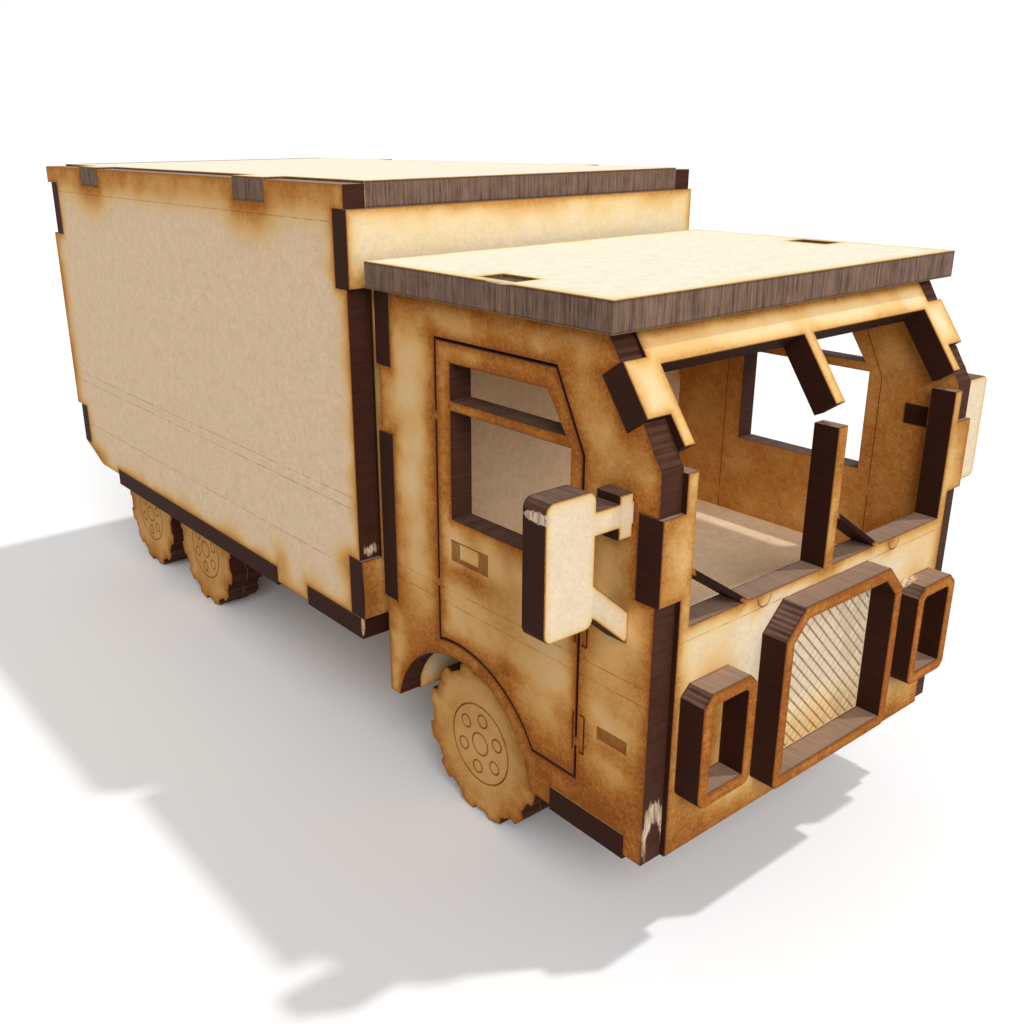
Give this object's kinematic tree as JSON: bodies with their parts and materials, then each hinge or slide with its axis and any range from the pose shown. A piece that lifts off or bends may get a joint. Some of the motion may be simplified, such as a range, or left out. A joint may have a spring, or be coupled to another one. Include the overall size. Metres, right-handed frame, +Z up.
{
  "type": "laser-cut fibreboard model box truck",
  "caption": "Small box truck model, glued up from flat laser-cut fibreboard pieces with let-in tabs: open cab windows, mirrors, closed box body and lugged wheels that roll.",
  "frame": {"origin": "on the floor under the wheels' lowest lugs, at the middle of the overall box", "axes": "+Y from the cab's nose to the rear of the box body, +Z up, +X to the model's left"},
  "size_m": [0.0754, 0.1492, 0.0759],
  "materials": {
    "fibreboard": "raw medium-density fibreboard with scorched laser-cut edges",
    "dowel": "raw round dowel"
  },
  "bodies": {
    "truck": {"box_back_wall": "fibreboard", "box_floor": "fibreboard", "box_front_wall": "fibreboard", "box_roof": "fibreboard", "box_side_left": "fibreboard", "box_side_right": "fibreboard", "cab_back_wall": "fibreboard", "cab_floor": "fibreboard", "cab_front_panel": "fibreboard", "cab_nose_strip": "fibreboard", "cab_roof": "fibreboard", "cab_side_left": "fibreboard", "cab_side_right": "fibreboard", "chassis_rail_left": "fibreboard", "chassis_rail_right": "fibreboard", "crosspiece_front": "fibreboard", "crosspiece_middle": "fibreboard", "crosspiece_rear": "fibreboard", "grille_frame": "fibreboard", "lamp_frame_left": "fibreboard", "lamp_frame_right": "fibreboard", "mirror_left": "fibreboard", "mirror_right": "fibreboard", "windscreen_frame": "fibreboard"},
    "front_axle_set": {"front_axle": "dowel", "front_wheel_left_inner": "fibreboard", "front_wheel_left_outer": "fibreboard", "front_wheel_right_inner": "fibreboard", "front_wheel_right_outer": "fibreboard"},
    "rear_first_axle_set": {"rear_first_axle": "dowel", "rear_first_wheel_left_inner": "fibreboard", "rear_first_wheel_left_outer": "fibreboard", "rear_first_wheel_right_inner": "fibreboard", "rear_first_wheel_right_outer": "fibreboard"},
    "rear_second_axle_set": {"rear_second_axle": "dowel", "rear_second_wheel_left_inner": "fibreboard", "rear_second_wheel_left_outer": "fibreboard", "rear_second_wheel_right_inner": "fibreboard", "rear_second_wheel_right_outer": "fibreboard"}
  },
  "joints": [
    {"name": "front_axle_roll", "type": "hinge", "parent": "truck", "child": "front_axle_set", "pos_m": [0, -0.0419, 0.01018], "axis": [1, 0, 0], "continuous": true},
    {"name": "rear_first_axle_roll", "type": "hinge", "parent": "truck", "child": "rear_first_axle_set", "pos_m": [0, 0.0389, 0.01018], "axis": [1, 0, 0], "continuous": true},
    {"name": "rear_second_axle_roll", "type": "hinge", "parent": "truck", "child": "rear_second_axle_set", "pos_m": [0, 0.0633, 0.01018], "axis": [1, 0, 0], "continuous": true}
  ]
}
